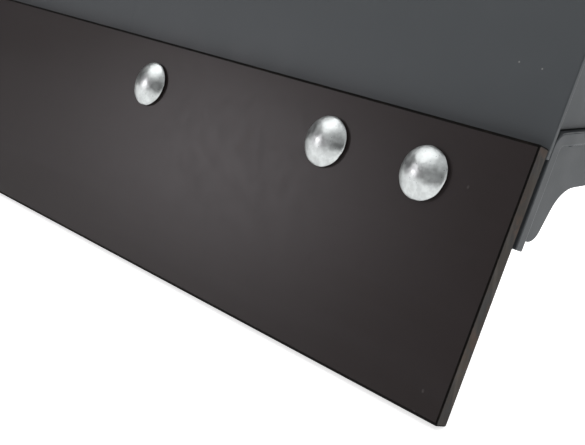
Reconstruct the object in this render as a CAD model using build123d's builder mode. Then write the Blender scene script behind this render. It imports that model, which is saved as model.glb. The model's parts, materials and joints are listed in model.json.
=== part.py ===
from build123d import *
import os
from math import cos, radians, sin

os.makedirs("parts", exist_ok=True)

# Tripping snow-plow blade. X runs along the blade, the moldboard faces -Y and +Z is up.
# The origin is on the floor, at the middle of the whole assembly's footprint.

# ---- driving dimensions (mm) ------------------------------------------------------------
blade_width = 1524.0
lean = 17.5                 # the wear bar leans back by this many degrees
bar_height = 101.6
bar_thickness = 7.0
sheet = 2.3                 # moldboard
flange_plate = 4.76
rib_plate = 4.76
heavy_plate = 6.35

flat_height = 80.0          # straight lower part of the moldboard, above the wear bar
curve_radius = 290.0        # front face of the moldboard's curve
curve_angle = 55.0
lip_radius = 6.0
lip_length = 24.0
lap = 34.0                  # moldboard behind the wear bar
corner_clip = 4.0           # the lapped part stops short of each end
clip_start = 3.5

flange_drop = 36.0          # front leg of the bottom flange
flange_bend = 7.0           # outside radius
flange_top = 3.1            # rear leg's top, above the wear bar's top edge
flange_rear = 62.0          # rear leg's edge, behind the wear bar's top edge

bolt_drop = 21.2            # bolt row, below the wear bar's top edge
bolt_from_end = (40.0, 88.9, 203.6, 406.4, 609.6)
bolt_d = 9.2
head_d = 20.6
head_h = 4.9
neck = 9.6
hole_play = 0.6             # room round the bolts in the bar, the sheet and the flange

rib_inset = 3.0             # end rib, in from the blade's end
rib_gap = 0.6               # slot above the flange's rear leg
rib_rear = 90.0             # ribs' straight rear edge, behind the wear bar's top edge
rib_angle = 47.0            # how far the ribs follow the moldboard's curve
mid_rib_x = 519.0
pivot_x = 212.5             # middle of each pair of pivot ribs
pivot_gap = 35.5            # between the two ribs of a pair

pivot_y = 90.0              # trip pivot, behind the wear bar's top edge
pivot_z = 130.0
pin_d = 15.875
pin_fit = 0.075             # radial running clearance
anchor_y = 48.0             # spring anchor on the ribs
anchor_z = 356.0
anchor_d = 10.0

bar_size = 50.8             # square cross bar of the trip frame
bar_wall = 3.2
bar_front = 130.0
bar_length = 480.0
king_y = 206.0
king_od = 44.45
king_id = 25.65
king_low = 84.0
king_high = 178.0
sector_radius = 115.0
lock_radius = 95.0
lock_angles = (-30, -15, 0, 15, 30)
lock_d = 13.0
bracket_y = 175.0           # middle of the spring bracket's plate
bracket_z = 186.0

wire = 4.5
coil_od = 32.0
loop_r = 10.5               # mean radius of the springs' end loops
eye_wire = 8.0
eye_r = 11.0                # mean radius of the eye bolts' eyes
eye_to_plate = 30.0

skid_x = 555.0
skid_y = 82.5
shoe_d = 108.0
post_d = 25.4
post_fit = 0.09
sleeve_od = 38.1
sleeve_low = 86.0
sleeve_high = 166.0
spacer_h = 12.7

# ---- placing ------------------------------------------------------------------------------
half = blade_width / 2
slope_y = sin(radians(lean))
slope_z = cos(radians(lean))
edge_z = bar_height * slope_z + bar_thickness * slope_y       # wear bar's top front edge
front_reach = bar_height * slope_y
rear_reach = king_y + sector_radius
edge_y = (front_reach - rear_reach) / 2                       # centres the footprint on Y = 0


def side(down, deep):
    """(Y, Z) of a point given down the wear bar's front face and in behind it."""
    return (
        edge_y - down * slope_y + deep * slope_z,
        edge_z - down * slope_z - deep * slope_y,
    )


def behind(back, up):
    """(Y, Z) of a point behind the wear bar's top edge, at a height above the floor."""
    return (edge_y + back, up)


# Looking at the wear bar's front face: x along the blade, y up the bar, z out of it.
face = Plane(origin=(0, edge_y, edge_z), x_dir=(1, 0, 0), z_dir=(0, -slope_z, slope_y))
up_sheet = (slope_y, slope_z)
flange_front = bar_thickness + sheet
flange_back = flange_front + flange_plate
sheet_middle = bar_thickness + sheet / 2
curve_start = side(-flat_height, sheet_middle)
pivot = behind(pivot_y, pivot_z)
anchor = behind(anchor_y, anchor_z)
bolt_xs = [s * (half - d) for d in bolt_from_end for s in (-1, 1)]
bolt_places = [face * Location((x, -bolt_drop, 0)) for x in bolt_xs]
sides = (("left", -1), ("right", 1))


def finish(builder, name):
    builder.part.label = name
    export_step(builder.part, f"parts/{name}.step")


# ---- wear bar ------------------------------------------------------------------------------
with BuildPart() as wear_bar:
    with BuildSketch(face):
        with Locations((0, -bar_height / 2)):
            Rectangle(blade_width, bar_height)
        with Locations([(x, -bolt_drop) for x in bolt_xs]):
            Rectangle(neck + hole_play, neck + hole_play, mode=Mode.SUBTRACT)
    extrude(amount=-bar_thickness)
finish(wear_bar, "wear_bar")

# ---- moldboard -----------------------------------------------------------------------------
with BuildPart() as moldboard:
    with BuildSketch(Plane.YZ):
        with BuildLine():
            lower = Line(side(lap, sheet_middle), curve_start)
            curve = JernArc(curve_start, up_sheet, curve_radius + sheet / 2, curve_angle)
            bend = JernArc(curve @ 1, curve % 1, lip_radius, -90)
            lip = Line(bend @ 1, bend @ 1 + (bend % 1) * lip_length)
        trace(line_width=sheet)
    extrude(amount=half, both=True)
    clip_height = lap - clip_start + 1
    clip_middle = -clip_start - clip_height / 2
    with Locations([face * Location((s * half, clip_middle, -sheet_middle)) for s in (-1, 1)]):
        Box(2 * corner_clip, clip_height, 2 * sheet, mode=Mode.SUBTRACT)
    with Locations(bolt_places):
        Cylinder(bolt_d / 2 + hole_play, 60, mode=Mode.SUBTRACT)
finish(moldboard, "moldboard")

# ---- bottom flange ---------------------------------------------------------------------------
with BuildPart() as bottom_flange:
    middle = flange_front + flange_plate / 2
    rear_leg_z = edge_z + flange_top - flange_plate / 2
    rise = (edge_z - rear_leg_z - middle * slope_y) / slope_z
    with BuildSketch(Plane.YZ):
        with BuildLine():
            FilletPolyline(
                side(flange_drop, middle),
                side(rise, middle),
                behind(flange_rear, rear_leg_z),
                radius=flange_bend - flange_plate / 2,
            )
        trace(line_width=flange_plate)
    extrude(amount=half, both=True)
    with Locations(bolt_places):
        Cylinder(bolt_d / 2 + hole_play, 60, mode=Mode.SUBTRACT)
finish(bottom_flange, "bottom_flange")

# ---- wear bar fasteners ----------------------------------------------------------------------
washer_h = 1.8
nut_h = 8.3
nut_af = 14.3
bolt_out = 4.0              # bolt past its nut
washer_r = 10.2
shank = flange_back + washer_h + nut_h + bolt_out
head_rim = 1.4              # straight rim under the dome
head_under = 0.4            # the rim's lower edge is broken by this much
dome = head_h - head_rim
dome_radius = (head_d ** 2 / 4 + dome ** 2) / (2 * dome)
with BuildPart() as bolt_form:
    with BuildSketch(Plane.XZ):
        with BuildLine():
            RadiusArc((head_d / 2, head_rim), (0, head_h), -dome_radius)
            Polyline(
                (0, head_h),
                (0, -shank),
                (bolt_d / 2 - 1, -shank),
                (bolt_d / 2, 1 - shank),
                (bolt_d / 2, 0),
                (head_d / 2 - head_under, 0),
                (head_d / 2, head_under),
                (head_d / 2, head_rim),
            )
        make_face()
    revolve(axis=Axis.Z)
    with Locations((0, 0, -2)):
        Box(neck, neck, 5)

with BuildPart() as washer_form:
    with Locations((0, 0, -flange_back - washer_h / 2)):
        Cylinder(washer_r, washer_h)
        Cylinder(bolt_d / 2 + 0.3, washer_h, mode=Mode.SUBTRACT)

with BuildPart() as nut_form:
    with BuildSketch(Plane.XY.offset(-flange_back - washer_h)):
        RegularPolygon(nut_af / 2, 6, major_radius=False)
    extrude(amount=-nut_h)
    with BuildSketch(Plane.XY):
        Circle(nut_af * 0.56)
    extrude(amount=-60, mode=Mode.INTERSECT)
    with Locations((0, 0, -30)):
        Cylinder(bolt_d / 2, 60, mode=Mode.SUBTRACT)

for form, name in ((bolt_form, "carriage_bolts"), (washer_form, "edge_washers"), (nut_form, "edge_nuts")):
    with BuildPart() as fasteners:
        with Locations(bolt_places):
            add(form.part)
    finish(fasteners, name)


# ---- ribs --------------------------------------------------------------------------------------
leg_low = edge_z + flange_top - flange_plate
leg_high = edge_z + flange_top + rib_gap
arm_low = edge_z - 18.7
slot_rear = flange_rear + 1.5
hook_start = side(10, 30.9)
hook_toe = side(32, 25)
rear_low = behind(rib_rear, arm_low)
rear_high = behind(rib_rear, 240)


def on_height(z, deep):
    """(Y, Z) of the point at height z on a line parallel to the bar's face, deep behind it."""
    return side((edge_z - z - deep * slope_y) / slope_z, deep)


def rib_outline():
    """Closed line of a rib: hook under the flange, slot for its rear leg, moldboard's curve."""
    base = on_height(leg_high, flange_front)
    corner = on_height(leg_low, flange_back)
    top_of_flat = side(-flat_height, flange_front)
    Line(base, top_of_flat)
    curve = JernArc(top_of_flat, up_sheet, curve_radius + sheet + 0.1, rib_angle)
    inward = (curve % 1).rotate(Axis.Z, -90)
    Polyline(
        curve @ 1,
        curve @ 1 + inward * 24,
        rear_high,
        rear_low,
        hook_start,
        hook_toe,
        side(32, flange_back + 0.1),
        (corner[0] - 3.2 * slope_y, corner[1] - 3.2 * slope_z),
        (corner[0] + 3.2, corner[1]),
        behind(slot_rear, leg_low),
        behind(slot_rear, leg_high),
        base,
    )


def make_rib(name, x_low, with_pivot=False):
    with BuildPart() as rib:
        with BuildSketch(Plane.YZ.offset(x_low)) as outline:
            with BuildLine():
                rib_outline()
            make_face()
            for corner, radius in ((hook_start, 16), (hook_toe, 6.5), (rear_low, 10), (rear_high, 60)):
                fillet(outline.vertices().sort_by_distance(corner)[0], radius)
            if with_pivot:
                with Locations(pivot):
                    Circle(24)
                    Circle(pin_d / 2 + 0.2, mode=Mode.SUBTRACT)
                with Locations(anchor):
                    Circle(14)
                    Circle(anchor_d / 2 + 0.2, mode=Mode.SUBTRACT)
        extrude(amount=rib_plate)
    finish(rib, name)


for word, s in sides:
    make_rib(f"end_rib_{word}", s * (half - rib_inset - rib_plate / 2) - rib_plate / 2)
    make_rib(f"mid_rib_{word}", s * mid_rib_x - rib_plate / 2)
    for place, offset in (("outer", 1), ("inner", -1)):
        rib_x = s * (pivot_x + offset * (pivot_gap + rib_plate) / 2)
        make_rib(f"pivot_rib_{word}_{place}", rib_x - rib_plate / 2, with_pivot=True)


# ---- hardware forms shared by several pins ------------------------------------------------------
def make_clip(name, places, pin_radius):
    """Hairpin clips: a straight leg through the pin and a bowed leg outside it, joined by an eye."""
    clip_wire = 3.0
    reach = pin_radius + 9
    with BuildPart() as clips:
        with Locations(places):
            add(clip_form(clip_wire, reach, pin_radius))
    finish(clips, name)


def clip_form(clip_wire, reach, pin_radius):
    spread = pin_radius + clip_wire / 2 + 0.3
    with BuildPart() as form:
        with BuildLine() as path:
            straight = Line((-reach, 0), (reach, 0))
            eye = TangentArc(straight @ 1, (reach, spread), tangent=(1, 0))
            Line(eye @ 1, (-reach * 0.6, spread))
        with BuildSketch(Plane(origin=straight @ 0, z_dir=(1, 0, 0))):
            Circle(clip_wire / 2)
        sweep()
    return form.part


def ring(mean_radius, wire_d):
    """A wire loop in the XY plane."""
    with BuildPart() as form:
        with BuildSketch(Plane.XZ):
            with Locations((mean_radius, 0)):
                Circle(wire_d / 2)
        revolve(axis=Axis.Z)
    return form.part


# ---- trip pins and spring anchors -----------------------------------------------------------------
pair_outer = pivot_gap / 2 + rib_plate
head_t = 5.0
pin_head_r = 12.0
pin_past = 12.0             # pin past its far rib, room for the clip
clip_out = 4.0
clip_hole_r = 1.8
anchor_past = 7.0           # anchor bolt past each rib, under its head and through its nut
anchor_af = 17.0
anchor_head_t = 6.5
anchor_nut_t = 8.5
pin_axis = Plane(origin=(0, *pivot), x_dir=(0, 1, 0), z_dir=(1, 0, 0))
anchor_axis = Plane(origin=(0, *anchor), x_dir=(0, 1, 0), z_dir=(1, 0, 0))

for word, s in sides:
    with BuildPart() as pin:
        with BuildSketch(pin_axis.offset(s * (pivot_x + pair_outer))):
            Circle(pin_head_r)
        extrude(amount=s * head_t)
        with BuildSketch(pin_axis.offset(s * (pivot_x + pair_outer))):
            Circle(pin_d / 2)
        extrude(amount=-s * (2 * pair_outer + pin_past))
        tail = pin.edges().sort_by(Axis.X)[0 if s > 0 else -1]
        chamfer(tail, 1.5)
        with Locations(pin_axis.offset(s * (pivot_x - pair_outer - clip_out))):
            Cylinder(clip_hole_r, 4 * pin_d, rotation=(90, 0, 0), mode=Mode.SUBTRACT)
    finish(pin, f"trip_pin_{word}")

clip_places = [pin_axis.offset(s * (pivot_x - pair_outer - clip_out)) * Rot(0, 0, 90) for w, s in sides]
make_clip("trip_pin_clips", clip_places, pin_d / 2)

with BuildPart() as bolt:
    length = 2 * pair_outer + 2 * anchor_past
    with Locations((0, 0, anchor_past - length / 2 + pair_outer)):
        Cylinder(anchor_d / 2, length)
    with BuildSketch(Plane.XY.offset(-pair_outer)):
        RegularPolygon(anchor_af / 2, 6, major_radius=False)
    extrude(amount=-anchor_head_t)
with BuildPart() as nut:
    with BuildSketch(Plane.XY.offset(pair_outer)):
        RegularPolygon(anchor_af / 2, 6, major_radius=False)
        Circle(anchor_d / 2, mode=Mode.SUBTRACT)
    extrude(amount=anchor_nut_t)
anchor_places = [anchor_axis.offset(s * pivot_x) for w, s in sides]
for form, name in ((bolt, "spring_anchor_bolts"), (nut, "spring_anchor_nuts")):
    with BuildPart() as group:
        with Locations(anchor_places):
            add(form.part)
    finish(group, name)

# ---- trip frame: cross bar, lugs, stops --------------------------------------------------------------
bar_low = pivot_z - bar_size / 2
bar_high = pivot_z + bar_size / 2
bar_rear = bar_front + bar_size
with BuildPart() as trip_crossbar:
    with BuildSketch(Plane.YZ):
        with Locations(behind(bar_front + bar_size / 2, pivot_z)):
            RectangleRounded(bar_size, bar_size, 5)
            RectangleRounded(bar_size - 2 * bar_wall, bar_size - 2 * bar_wall, 2, mode=Mode.SUBTRACT)
    extrude(amount=bar_length / 2, both=True)
finish(trip_crossbar, "trip_crossbar")

cap_edge = 2.5
with BuildPart() as crossbar_caps:
    for s in (-1, 1):
        with BuildSketch(Plane.YZ.offset(s * bar_length / 2)):
            with Locations(behind(bar_front + bar_size / 2, pivot_z)):
                RectangleRounded(bar_size, bar_size, 5)
        extrude(amount=s * cap_edge)
        with BuildSketch(Plane.YZ.offset(s * bar_length / 2)):
            with Locations(behind(bar_front + bar_size / 2, pivot_z)):
                RectangleRounded(bar_size - 2 * bar_wall - 0.2, bar_size - 2 * bar_wall - 0.2, 2)
        extrude(amount=-s * 10)
finish(crossbar_caps, "crossbar_caps")

stop_low = 196.0
stop_high = 224.0
pad_t = 6.0
tab_t = 6.35
tab_front = rib_rear + pad_t
tab_rear = tab_front + tab_t
lug_t = 8.0
tube_r = 14.0
tube_length = pivot_gap - 1.5
for word, s in sides:
    with BuildPart() as lug:
        with BuildSketch(Plane.YZ.offset(s * pivot_x - lug_t / 2)):
            with BuildLine():
                Polyline(
                    behind(pivot_y - 4, pivot_z - 19),
                    behind(bar_front, bar_low + 4),
                    behind(bar_front, bar_high),
                    behind(bar_front + 22, bar_high),
                    behind(tab_rear + 14, stop_high),
                    behind(tab_rear, stop_high),
                    behind(tab_rear, stop_low - 20),
                    behind(pivot_y - 8, pivot_z + 19),
                    close=True,
                )
            make_face()
            with Locations(pivot):
                Circle(20)
                Circle(tube_r, mode=Mode.SUBTRACT)
        extrude(amount=lug_t)
    finish(lug, f"trip_lug_{word}")

    with BuildPart() as tube:
        with BuildSketch(pin_axis.offset(s * pivot_x)):
            Circle(tube_r)
            Circle(pin_d / 2 + pin_fit, mode=Mode.SUBTRACT)
        extrude(amount=tube_length / 2, both=True)
    finish(tube, f"pivot_tube_{word}")

    with BuildPart() as tab:
        with Locations((s * pivot_x, edge_y + (tab_front + tab_rear) / 2, (stop_low + stop_high) / 2)):
            Box(2 * pair_outer + 6, tab_t, stop_high - stop_low)
        fillet(tab.edges().filter_by(Axis.Y), 4)
    finish(tab, f"stop_tab_{word}")

with BuildPart() as stop_pads:
    pad_places = [
        (s * pivot_x + side_of_pair * (pivot_gap + rib_plate) / 2, edge_y + rib_rear + pad_t / 2, 210)
        for s in (-1, 1)
        for side_of_pair in (-1, 1)
    ]
    with Locations(pad_places):
        Box(9, pad_t, 24)
    fillet(stop_pads.edges().filter_by(Axis.Y), 2)
finish(stop_pads, "stop_pads")

# ---- king pin sleeve, sector plate and gusset ------------------------------------------------------------
with BuildPart() as king_pin_sleeve:
    with BuildSketch(Plane.XY.offset(king_low)):
        with Locations((0, edge_y + king_y)):
            Circle(king_od / 2)
            Circle(king_id / 2, mode=Mode.SUBTRACT)
    extrude(amount=king_high - king_low)
    chamfer(king_pin_sleeve.edges().filter_by(GeomType.CIRCLE), 0.8)
finish(king_pin_sleeve, "king_pin_sleeve")

with BuildPart() as sector_plate:
    with BuildSketch(Plane.XY.offset(bar_high)):
        with Locations((0, edge_y + king_y)):
            Circle(sector_radius)
        with Locations((0, edge_y + king_y - sector_radius)):
            Rectangle(4 * sector_radius, 2 * sector_radius, mode=Mode.SUBTRACT)
        with Locations((0, edge_y + (king_y + bar_front + 6) / 2)):
            Rectangle(2 * sector_radius, king_y - bar_front - 6)
        with Locations((0, edge_y + king_y)):
            Circle(king_od / 2 + 0.1, mode=Mode.SUBTRACT)
            for angle in lock_angles:
                with Locations((lock_radius * sin(radians(angle)), lock_radius * cos(radians(angle)))):
                    Circle(lock_d / 2, mode=Mode.SUBTRACT)
    extrude(amount=heavy_plate)
    fillet(sector_plate.edges().filter_by(Axis.Z).sort_by(Axis.Y)[:2], 12)
finish(sector_plate, "sector_plate")

with BuildPart() as sleeve_gusset:
    with BuildSketch(Plane.XY.offset(bar_low - heavy_plate)):
        with BuildLine():
            Polyline(
                (-100, edge_y + bar_front + 8),
                (100, edge_y + bar_front + 8),
                (100, edge_y + bar_rear),
                (king_od / 2 + 8, edge_y + king_y + 14),
                (-king_od / 2 - 8, edge_y + king_y + 14),
                (-100, edge_y + bar_rear),
                close=True,
            )
        make_face()
        with Locations((0, edge_y + king_y)):
            Circle(king_od / 2 + 8)
            Circle(king_od / 2 + 0.1, mode=Mode.SUBTRACT)
    extrude(amount=heavy_plate)
finish(sleeve_gusset, "sleeve_gusset")

# ---- trip springs, eye bolts and their brackets ----------------------------------------------------------
bracket = Vector(0, *behind(bracket_y, bracket_z))
anchor_point = Vector(0, *anchor)
pull = (bracket - anchor_point).normalized()            # down the spring, from anchor to bracket
eye = bracket - pull * eye_to_plate
top_loop = anchor_point + pull * (loop_r - wire / 2 - anchor_d / 2 - 0.3)
low_loop = eye - pull * (loop_r + eye_r - wire / 2 - eye_wire / 2 - 0.3)


def line_plane(point, s):
    """Plane across a spring's line of pull, with its normal down the line."""
    return Plane(origin=point + Vector(s * pivot_x, 0, 0), x_dir=(1, 0, 0), z_dir=pull)


def loop_plane(point, s):
    """Plane that holds an end loop of a spring."""
    return Plane(origin=point + Vector(s * pivot_x, 0, 0), x_dir=pull, z_dir=(1, 0, 0))


coil_start = top_loop + pull * (loop_r + wire / 2 + 3)
coil_end = low_loop - pull * (loop_r + wire / 2 + 3)
coil_length = (coil_end - coil_start).length
for word, s in sides:
    with BuildPart() as spring:
        with BuildSketch(line_plane(coil_start, s)):
            Circle(coil_od / 2)
            Circle(coil_od / 2 - wire, mode=Mode.SUBTRACT)
        extrude(amount=coil_length)
        for start, toward in ((coil_start, -1), (coil_end, 1)):
            with BuildSketch(line_plane(start, s)):
                Circle(coil_od / 2)
            extrude(amount=-toward * wire)
            with BuildSketch(line_plane(start, s)):
                Circle(wire / 2)
            extrude(amount=toward * (3 + wire))
        with Locations(loop_plane(top_loop, s), loop_plane(low_loop, s)):
            add(ring(loop_r, wire))
    finish(spring, f"trip_spring_{word}")

    with BuildPart() as holder:
        plate_w = 2 * 29.0
        with BuildSketch(line_plane(bracket, s)):
            Rectangle(plate_w, 40)
            Circle(eye_wire / 2 + 0.6, mode=Mode.SUBTRACT)
        extrude(amount=heavy_plate)
        for cheek in (-1, 1):
            cheek_x = s * pivot_x + cheek * (plate_w / 2 + 2.5)
            with BuildSketch(Plane.YZ.offset(cheek_x)):
                with BuildLine():
                    across = line_plane(bracket, s).y_dir * 20
                    front_end = bracket + across
                    rear_end = bracket - across
                    rear_back = rear_end + pull * heavy_plate
                    Polyline(
                        (front_end.Y, front_end.Z),
                        (rear_end.Y, rear_end.Z),
                        (rear_back.Y, rear_back.Z),
                        behind(bar_rear, bar_high),
                        behind(bar_front + 10, bar_high),
                        close=True,
                    )
                make_face()
            extrude(amount=2.5, both=True)
    finish(holder, f"spring_bracket_{word}")

with BuildPart() as eye_form:
    eye_shank = eye_to_plate + heavy_plate + 30
    with Locations((0, 0, (eye_r + eye_shank) / 2)):
        Cylinder(eye_wire / 2, eye_shank - eye_r)
    with Locations(Plane.XZ):
        add(ring(eye_r, eye_wire))
with BuildPart() as eye_nut:
    with BuildSketch(Plane.XY.offset(eye_to_plate + heavy_plate)):
        RegularPolygon(6.5, 6, major_radius=False)
        Circle(eye_wire / 2, mode=Mode.SUBTRACT)
    extrude(amount=6.8)
for form, name in ((eye_form, "eye_bolts"), (eye_nut, "eye_bolt_nuts")):
    with BuildPart() as group:
        with Locations([line_plane(eye, s) for w, s in sides]):
            add(form.part)
    finish(group, name)

# ---- skid shoes ------------------------------------------------------------------------------
hub_r = 20.0
spacer_gap = 0.2
clip_z = sleeve_high + spacer_gap + 2 * spacer_h + 5
post_top = clip_z + 14
spacer_count = 4
hub_top = sleeve_low - spacer_gap - spacer_count * spacer_h


def make_spacer(centre, low):
    """One spacer round a post. Its height leaves a hair's breadth below the next one."""
    with BuildPart() as form:
        with BuildSketch(centre.offset(low)):
            Circle(18)
            Circle(post_d / 2 + 0.4, mode=Mode.SUBTRACT)
        extrude(amount=spacer_h - 0.1)
        chamfer(form.edges().filter_by(GeomType.CIRCLE).sort_by(SortBy.RADIUS)[-2:], 0.8)
    return form.part


for word, s in sides:
    centre = Plane(origin=(s * skid_x, edge_y + skid_y, 0))

    with BuildPart() as sleeve:
        with BuildSketch(centre.offset(sleeve_low)):
            Circle(sleeve_od / 2)
            Circle(post_d / 2 + post_fit, mode=Mode.SUBTRACT)
        extrude(amount=sleeve_high - sleeve_low)
    finish(sleeve, f"skid_sleeve_{word}")

    near_x = s * (mid_rib_x + rib_plate / 2)
    far_x = s * (skid_x + sleeve_od / 2 + 6)
    with BuildPart() as gusset:
        with BuildSketch(Plane.XY.offset(140)):
            with BuildLine():
                Polyline(
                    (near_x, edge_y + 36),
                    (far_x, edge_y + 36),
                    (far_x, edge_y + skid_y),
                    (s * (skid_x + 4), edge_y + skid_y + sleeve_od / 2 + 5),
                    (near_x, edge_y + skid_y + sleeve_od / 2 + 5),
                    close=True,
                )
            make_face()
            with Locations((s * skid_x, edge_y + skid_y)):
                Circle(sleeve_od / 2 + 0.1, mode=Mode.SUBTRACT)
        extrude(amount=5)
    finish(gusset, f"skid_gusset_{word}")

    with BuildPart() as shoe:
        with BuildSketch(Plane(origin=centre.origin, x_dir=(1, 0, 0), z_dir=(0, -1, 0))) as dish:
            with BuildLine():
                Polyline(
                    (0, 0),
                    (38, 0),
                    (shoe_d / 2, 13),
                    (shoe_d / 2 - 3, 18),
                    (36, 6),
                    (hub_r + 3, 6),
                    (hub_r, hub_top),
                    (0, hub_top),
                    close=True,
                )
            make_face()
            fillet([corner for corner in dish.vertices() if corner.X > 1], 1.5)
        revolve(axis=Axis(centre.origin, (0, 0, 1)))
        with Locations(centre.offset(hub_top)):
            Hole(post_d / 2, depth=hub_top - 8)
    finish(shoe, f"skid_shoe_{word}")

    with BuildPart() as post:
        with BuildSketch(centre.offset(8)):
            Circle(post_d / 2)
        extrude(amount=post_top - 8)
        chamfer(post.faces().sort_by(Axis.Z)[-1].edges(), 2)
        with Locations(centre.offset(clip_z)):
            Cylinder(clip_hole_r, 2 * post_d, rotation=(0, 90, 0), mode=Mode.SUBTRACT)
    finish(post, f"skid_post_{word}")

    low_stack = sleeve_low - spacer_gap - spacer_count * spacer_h
    high_stack = sleeve_high + spacer_gap
    with BuildPart() as spacers:
        for index in range(spacer_count):
            add(make_spacer(centre, low_stack + index * spacer_h))
        for index in range(2):
            add(make_spacer(centre, high_stack + index * spacer_h))
    finish(spacers, f"skid_spacers_{word}")

    make_clip(f"skid_clip_{word}", [centre.offset(clip_z)], post_d / 2)
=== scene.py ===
import json
import math

import bmesh
import bpy
from mathutils import Matrix, Vector, noise


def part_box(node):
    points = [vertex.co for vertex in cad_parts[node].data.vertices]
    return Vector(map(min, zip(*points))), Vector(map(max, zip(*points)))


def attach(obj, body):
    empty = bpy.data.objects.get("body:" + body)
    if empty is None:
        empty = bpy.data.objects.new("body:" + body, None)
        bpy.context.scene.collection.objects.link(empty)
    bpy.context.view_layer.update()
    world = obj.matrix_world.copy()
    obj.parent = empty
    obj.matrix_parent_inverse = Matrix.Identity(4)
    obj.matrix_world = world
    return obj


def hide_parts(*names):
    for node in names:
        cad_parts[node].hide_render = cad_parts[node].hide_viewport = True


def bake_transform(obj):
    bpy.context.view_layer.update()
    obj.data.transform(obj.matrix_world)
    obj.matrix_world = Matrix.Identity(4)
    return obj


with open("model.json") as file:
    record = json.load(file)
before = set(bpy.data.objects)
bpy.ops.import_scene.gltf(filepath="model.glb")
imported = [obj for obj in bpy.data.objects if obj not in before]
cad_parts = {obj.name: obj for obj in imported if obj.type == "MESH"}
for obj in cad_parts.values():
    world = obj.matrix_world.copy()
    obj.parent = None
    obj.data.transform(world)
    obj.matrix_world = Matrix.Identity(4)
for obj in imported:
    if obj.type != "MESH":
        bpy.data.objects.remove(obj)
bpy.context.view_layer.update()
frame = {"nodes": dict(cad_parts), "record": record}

# An ATV snow-plow blade. X runs along the blade, the moldboard faces -Y and +Z is up.

# ---- sizes, in metres ---------------------------------------------------------------------
MM = 0.001
LEAN = math.radians(17.5)
BAR_HEIGHT = 101.6 * MM
BAR_THICKNESS = 7.0 * MM
SHEET = 2.3 * MM
PLATE = 4.76 * MM                   # ribs and bottom flange
HEAVY_PLATE = 6.35 * MM
FLAT_HEIGHT = 80 * MM
CURVE_RADIUS = 290 * MM
CURVE_ANGLE = math.radians(55)
LIP_RADIUS = 6 * MM
LIP_LENGTH = 24 * MM
LAP = 34 * MM
CLIP = 4 * MM
CLIP_START = 3.5 * MM
FLANGE_DROP = 36 * MM
FLANGE_BEND = 7 * MM
FLANGE_TOP = 3.1 * MM
FLANGE_REAR = 62 * MM
BOLT_DROP = 21.2 * MM
BOLT_FROM_END = [d * MM for d in (40.0, 88.9, 203.6, 406.4, 609.6)]
PIVOT_BACK, PIVOT_UP = 90 * MM, 130 * MM
ANCHOR_BACK, ANCHOR_UP = 48 * MM, 356 * MM
BRACKET_BACK, BRACKET_UP = 175 * MM, 186 * MM
PIVOT_X = 212.5 * MM
PAIR_GAP = 35.5 * MM
MID_RIB_X = 519 * MM
RIB_INSET = 3 * MM
BEAM = 50.8 * MM                    # square cross bar of the trip frame
BEAM_FRONT = 130 * MM
KING_BACK = 206 * MM
KING_RADIUS = 22.2 * MM
SKID_X, SKID_BACK = 555 * MM, 82.5 * MM
WIRE = 4.5 * MM
COIL_RADIUS = 13.75 * MM            # mean radius of the springs' coils
LOOP_RADIUS = 10.5 * MM
EYE_WIRE = 8 * MM
EYE_RADIUS = 11 * MM

bar_low, bar_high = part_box("wear_bar")
HALF = bar_high.x
SIN, COS = math.sin(LEAN), math.cos(LEAN)
EDGE_Y = bar_low.y + BAR_HEIGHT * SIN
EDGE_Z = bar_high.z
FLANGE_FRONT = BAR_THICKNESS + SHEET
FLANGE_BACK = FLANGE_FRONT + PLATE
ALONG = Vector((1, 0, 0))
OUT = Vector((0, -COS, SIN))        # out of the wear bar's front face
UP = Vector((0, 0, 1))
SIDES = (("left", -1), ("right", 1))


def side(down, deep, x=0.0):
    """A point given down the wear bar's front face and in behind it."""
    return Vector((x, EDGE_Y - down * SIN + deep * COS, EDGE_Z - down * COS - deep * SIN))


def behind(back, up, x=0.0):
    """A point behind the wear bar's top edge, at a height above the floor."""
    return Vector((x, EDGE_Y + back, up))


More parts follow.
